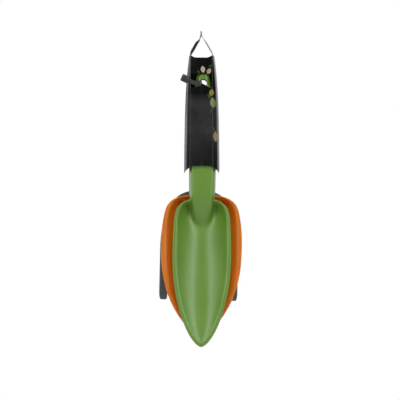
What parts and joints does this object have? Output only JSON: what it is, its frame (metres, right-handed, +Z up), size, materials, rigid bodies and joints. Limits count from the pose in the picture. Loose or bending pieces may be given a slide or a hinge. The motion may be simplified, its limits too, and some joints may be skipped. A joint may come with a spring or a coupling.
{
  "type": "hand trowel set",
  "caption": "Nested set of moulded plastic garden hand tools, a narrow trowel in front of a scoop and a cultivator, in a folded card hang sleeve with a cable tie.",
  "frame": {"origin": "the point under the card loop that rests on a display peg, in the middle of the loop's depth", "axes": "+Z up along the hanging tools, the blades open towards -Y, +X to the right as seen from the front"},
  "size_m": [0.0918, 0.0593, 0.3466],
  "materials": {
    "green_plastic": "injection moulded polypropylene, satin gloss, leaf green",
    "orange_plastic": "injection moulded polypropylene, satin gloss, orange",
    "grey_plastic": "injection moulded polypropylene, satin gloss, dark grey",
    "sleeve_card": "coated black paperboard with a varnish sheen and pale cut edges",
    "tie_nylon": "moulded nylon, dark grey"
  },
  "bodies": {
    "root": {"sleeve_front_band": "sleeve_card", "sleeve_left_flap": "sleeve_card", "sleeve_right_flap": "sleeve_card", "sleeve_left_side": "sleeve_card", "sleeve_right_side": "sleeve_card", "sleeve_back": "sleeve_card", "hanger_left_tab": "sleeve_card", "hanger_right_tab": "sleeve_card", "tie_strap": "tie_nylon", "tie_head": "tie_nylon"},
    "trowel": {"trowel": "green_plastic"},
    "scoop": {"scoop": "orange_plastic"},
    "cultivator": {"cultivator": "grey_plastic"}
  },
  "joints": [
    {"name": "trowel_swing", "type": "hinge", "parent": "root", "child": "trowel", "pos_m": [0.0015, 0, -0.0467], "axis": [0, 1, 0], "range_deg": [-0.3, 0.8]},
    {"name": "scoop_swing", "type": "hinge", "parent": "root", "child": "scoop", "pos_m": [0.0015, 0, -0.0467], "axis": [0, 1, 0], "range_deg": [-0.5, 0.8]},
    {"name": "cultivator_swing", "type": "hinge", "parent": "root", "child": "cultivator", "pos_m": [0.0015, 0, -0.0467], "axis": [0, 1, 0], "range_deg": [-0.8, 0.6]}
  ]
}
